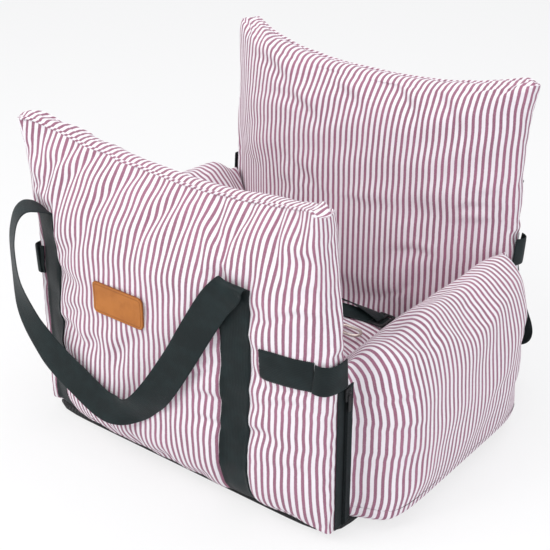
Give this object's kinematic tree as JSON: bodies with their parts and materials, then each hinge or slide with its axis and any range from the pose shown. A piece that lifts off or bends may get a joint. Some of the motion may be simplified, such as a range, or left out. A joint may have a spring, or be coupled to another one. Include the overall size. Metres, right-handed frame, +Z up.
{
  "type": "dog car seat",
  "caption": "Padded travel seat for a small dog: tall pillow walls, side bolsters, a cushion, webbing handles, corner zips and a safety tether on a flat non-slip base.",
  "frame": {"origin": "centre of the overall box at floor level, under the base", "axes": "+Z up; -Y is the front, the side with the leather tag; +X is to the right seen from the front"},
  "size_m": [0.5668, 0.494, 0.4512],
  "materials": {
    "ticking": "cotton ticking, narrow mauve stripes on white",
    "padding": "polyester fibre padding",
    "webbing": "ribbed black webbing with a soft sheen",
    "non_slip_cloth": "black non-slip cloth",
    "board": "stiff polyethylene board",
    "zip_tape": "black zip tape with a nylon coil",
    "zip_metal": "black enamelled zip slider",
    "leather": "tan leather with a stamped border",
    "nickel": "warm polished nickel",
    "black_plastic": "moulded black plastic"
  },
  "bodies": {
    "base": {"base_cover": "non_slip_cloth", "base_board": "board", "seat_cushion_cover": "ticking", "seat_cushion_padding": "padding", "tether_anchor_strap": "webbing", "tether_slider": "black_plastic", "tether_webbing": "webbing", "snap_hook_swivel_ring": "nickel"},
    "front_wall": {"front_wall_cover": "ticking", "front_wall_padding": "padding", "front_handle_upright_left": "webbing", "front_handle_upright_right": "webbing", "front_right_strap_patch": "webbing", "front_left_strap_patch": "webbing", "front_right_wall_zip_tape": "zip_tape", "front_left_wall_zip_tape": "zip_tape", "leather_tag": "leather"},
    "front_handle": {"front_handle": "webbing"},
    "rear_wall": {"rear_wall_cover": "ticking", "rear_wall_padding": "padding", "rear_handle_upright_left": "webbing", "rear_handle_upright_right": "webbing", "rear_left_strap_patch": "webbing", "rear_right_strap_patch": "webbing", "rear_left_wall_zip_tape": "zip_tape", "rear_right_wall_zip_tape": "zip_tape"},
    "rear_handle": {"rear_handle": "webbing"},
    "right_bolster": {"right_bolster_cover": "ticking", "right_bolster_padding": "padding", "front_right_bolster_zip_tape": "zip_tape", "rear_right_bolster_zip_tape": "zip_tape"},
    "left_bolster": {"left_bolster_cover": "ticking", "left_bolster_padding": "padding", "front_left_bolster_zip_tape": "zip_tape", "rear_left_bolster_zip_tape": "zip_tape"},
    "front_right_strap": {"front_right_strap_flap": "webbing"},
    "front_right_zip_slider": {"front_right_zip_slider": "zip_metal"},
    "front_right_zip_pull": {"front_right_zip_slider_pull": "zip_metal"},
    "front_left_strap": {"front_left_strap_flap": "webbing"},
    "front_left_zip_slider": {"front_left_zip_slider": "zip_metal"},
    "front_left_zip_pull": {"front_left_zip_slider_pull": "zip_metal"},
    "rear_left_strap": {"rear_left_strap_flap": "webbing"},
    "rear_left_zip_slider": {"rear_left_zip_slider": "zip_metal"},
    "rear_left_zip_pull": {"rear_left_zip_slider_pull": "zip_metal"},
    "rear_right_strap": {"rear_right_strap_flap": "webbing"},
    "rear_right_zip_slider": {"rear_right_zip_slider": "zip_metal"},
    "rear_right_zip_pull": {"rear_right_zip_slider_pull": "zip_metal"},
    "snap_hook": {"snap_hook_body": "nickel"},
    "snap_hook_gate": {"snap_hook_gate": "nickel"}
  },
  "joints": [
    {"name": "front_wall_fold", "type": "hinge", "parent": "base", "child": "front_wall", "pos_m": [0, -0.213, 0.008], "axis": [1, 0, 0], "range_deg": [0, 65]},
    {"name": "rear_wall_fold", "type": "hinge", "parent": "base", "child": "rear_wall", "pos_m": [0, 0.213, 0.008], "axis": [-1, 0, 0], "range_deg": [0, 65]},
    {"name": "right_bolster_fold", "type": "hinge", "parent": "base", "child": "right_bolster", "pos_m": [0.24, 0, 0.008], "axis": [0, 1, 0], "range_deg": [0, 50]},
    {"name": "left_bolster_fold", "type": "hinge", "parent": "base", "child": "left_bolster", "pos_m": [-0.24, 0, 0.008], "axis": [0, -1, 0], "range_deg": [0, 50]},
    {"name": "front_handle_swing", "type": "hinge", "parent": "front_wall", "child": "front_handle", "pos_m": [-0.0455, -0.22902, 0.307], "axis": [-0.9992, 0.0393, 0], "range_deg": [0, 110]},
    {"name": "rear_handle_swing", "type": "hinge", "parent": "rear_wall", "child": "rear_handle", "pos_m": [0.0455, 0.22999, 0.307], "axis": [0.9991, -0.0425, 0], "range_deg": [0, 110]},
    {"name": "front_right_strap_peel", "type": "hinge", "parent": "front_wall", "child": "front_right_strap", "pos_m": [0.21653, -0.22505, 0.2225], "axis": [0, 0, -1], "range_deg": [0, 110]},
    {"name": "front_left_strap_peel", "type": "hinge", "parent": "front_wall", "child": "front_left_strap", "pos_m": [-0.23014, -0.20851, 0.2225], "axis": [0, 0, 1], "range_deg": [0, 110]},
    {"name": "rear_left_strap_peel", "type": "hinge", "parent": "rear_wall", "child": "rear_left_strap", "pos_m": [-0.21653, 0.22505, 0.2225], "axis": [0, 0, -1], "range_deg": [0, 110]},
    {"name": "rear_right_strap_peel", "type": "hinge", "parent": "rear_wall", "child": "rear_right_strap", "pos_m": [0.23014, 0.20851, 0.2225], "axis": [0, 0, 1], "range_deg": [0, 110]},
    {"name": "front_right_zip_travel", "type": "slide", "parent": "right_bolster", "child": "front_right_zip_slider", "axis": [0, 0, -1], "range_m": [0, 0.155]},
    {"name": "front_right_zip_pull_swing", "type": "hinge", "parent": "front_right_zip_slider", "child": "front_right_zip_pull", "pos_m": [0.2412, -0.19, 0.1972], "axis": [0, -1, 0], "range_deg": [0, 100]},
    {"name": "front_left_zip_travel", "type": "slide", "parent": "left_bolster", "child": "front_left_zip_slider", "axis": [0, 0, -1], "range_m": [0, 0.155]},
    {"name": "front_left_zip_pull_swing", "type": "hinge", "parent": "front_left_zip_slider", "child": "front_left_zip_pull", "pos_m": [-0.2412, -0.18, 0.1972], "axis": [0, 1, 0], "range_deg": [0, 100]},
    {"name": "rear_left_zip_travel", "type": "slide", "parent": "left_bolster", "child": "rear_left_zip_slider", "axis": [0, 0, -1], "range_m": [0, 0.155]},
    {"name": "rear_left_zip_pull_swing", "type": "hinge", "parent": "rear_left_zip_slider", "child": "rear_left_zip_pull", "pos_m": [-0.2412, 0.19, 0.1972], "axis": [0, 1, 0], "range_deg": [0, 100]},
    {"name": "rear_right_zip_travel", "type": "slide", "parent": "right_bolster", "child": "rear_right_zip_slider", "axis": [0, 0, -1], "range_m": [0, 0.155]},
    {"name": "rear_right_zip_pull_swing", "type": "hinge", "parent": "rear_right_zip_slider", "child": "rear_right_zip_pull", "pos_m": [0.2412, 0.18, 0.1972], "axis": [0, -1, 0], "range_deg": [0, 100]},
    {"name": "snap_hook_swivel", "type": "hinge", "parent": "base", "child": "snap_hook", "pos_m": [0.057, 0.036, 0.1185], "axis": [1, 0, 0], "range_deg": [-12, 12]},
    {"name": "snap_hook_gate_open", "type": "hinge", "parent": "snap_hook", "child": "snap_hook_gate", "pos_m": [0.0701, 0.027, 0.1185], "axis": [0, 0, 1], "range_deg": [0, 25], "stiffness_Nm_per_rad": 0.02}
  ]
}
